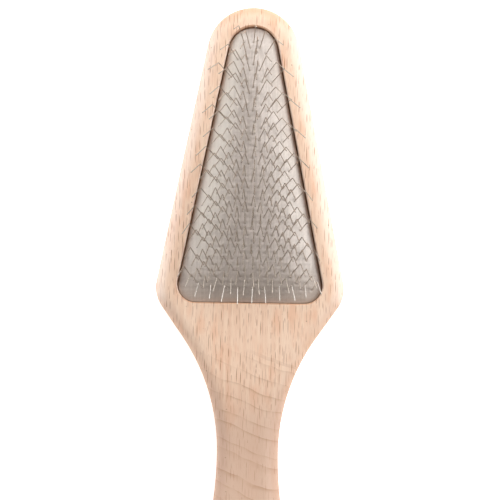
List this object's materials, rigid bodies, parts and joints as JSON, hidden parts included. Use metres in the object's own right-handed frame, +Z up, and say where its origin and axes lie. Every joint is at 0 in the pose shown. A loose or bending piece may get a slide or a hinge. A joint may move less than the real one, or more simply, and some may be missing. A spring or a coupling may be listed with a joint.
{
  "type": "slicker brush",
  "caption": "Wooden slicker brush with a tapered head, a domed sprung cushion of kneed wire pins and a necked handle.",
  "frame": {"origin": "on the flat back face, halfway along the brush and on its centre line", "axes": "+Z up out of the pins' side, +Y towards the tip of the head, +X across the head"},
  "size_m": [0.0672, 0.24, 0.0317],
  "materials": {
    "beech": "pale beech, fine sanded, matt oil",
    "rubber_face": "matt grey-beige natural rubber with a faint cloth texture",
    "backing": "woven cotton foundation",
    "foam": "open-cell foam",
    "adhesive": "thin adhesive film",
    "wire": "drawn steel wire, satin"
  },
  "bodies": {
    "handle": {"beech_handle": "beech", "adhesive_sheet": "adhesive"},
    "cushion": {"foam_core": "foam", "backing_cloth": "backing", "rubber_face": "rubber_face", "staple_row_01": "wire", "staple_row_02": "wire", "staple_row_03": "wire", "staple_row_04": "wire", "staple_row_05": "wire", "staple_row_06": "wire", "staple_row_07": "wire", "staple_row_08": "wire", "staple_row_09": "wire", "staple_row_10": "wire", "staple_row_11": "wire", "staple_row_12": "wire", "staple_row_13": "wire", "staple_row_14": "wire", "staple_row_15": "wire", "staple_row_16": "wire", "staple_row_17": "wire", "staple_row_18": "wire", "staple_row_19": "wire", "staple_row_20": "wire", "staple_row_21": "wire", "staple_row_22": "wire", "staple_row_23": "wire", "staple_row_24": "wire", "staple_row_25": "wire", "staple_row_26": "wire", "staple_row_27": "wire", "staple_row_28": "wire", "staple_row_29": "wire", "staple_row_30": "wire", "staple_row_31": "wire", "staple_row_32": "wire", "staple_row_33": "wire", "staple_row_34": "wire", "staple_row_35": "wire", "staple_row_36": "wire", "staple_row_37": "wire", "staple_row_38": "wire", "staple_row_39": "wire", "staple_row_40": "wire", "staple_row_41": "wire", "staple_row_42": "wire", "staple_row_43": "wire"}
  },
  "joints": [
    {"name": "pad_press", "type": "slide", "parent": "handle", "child": "cushion", "axis": [0, 0, 1], "range_m": [-0.0015, 0], "stiffness_N_per_m": 4000, "deforming": ["foam_core"]}
  ]
}
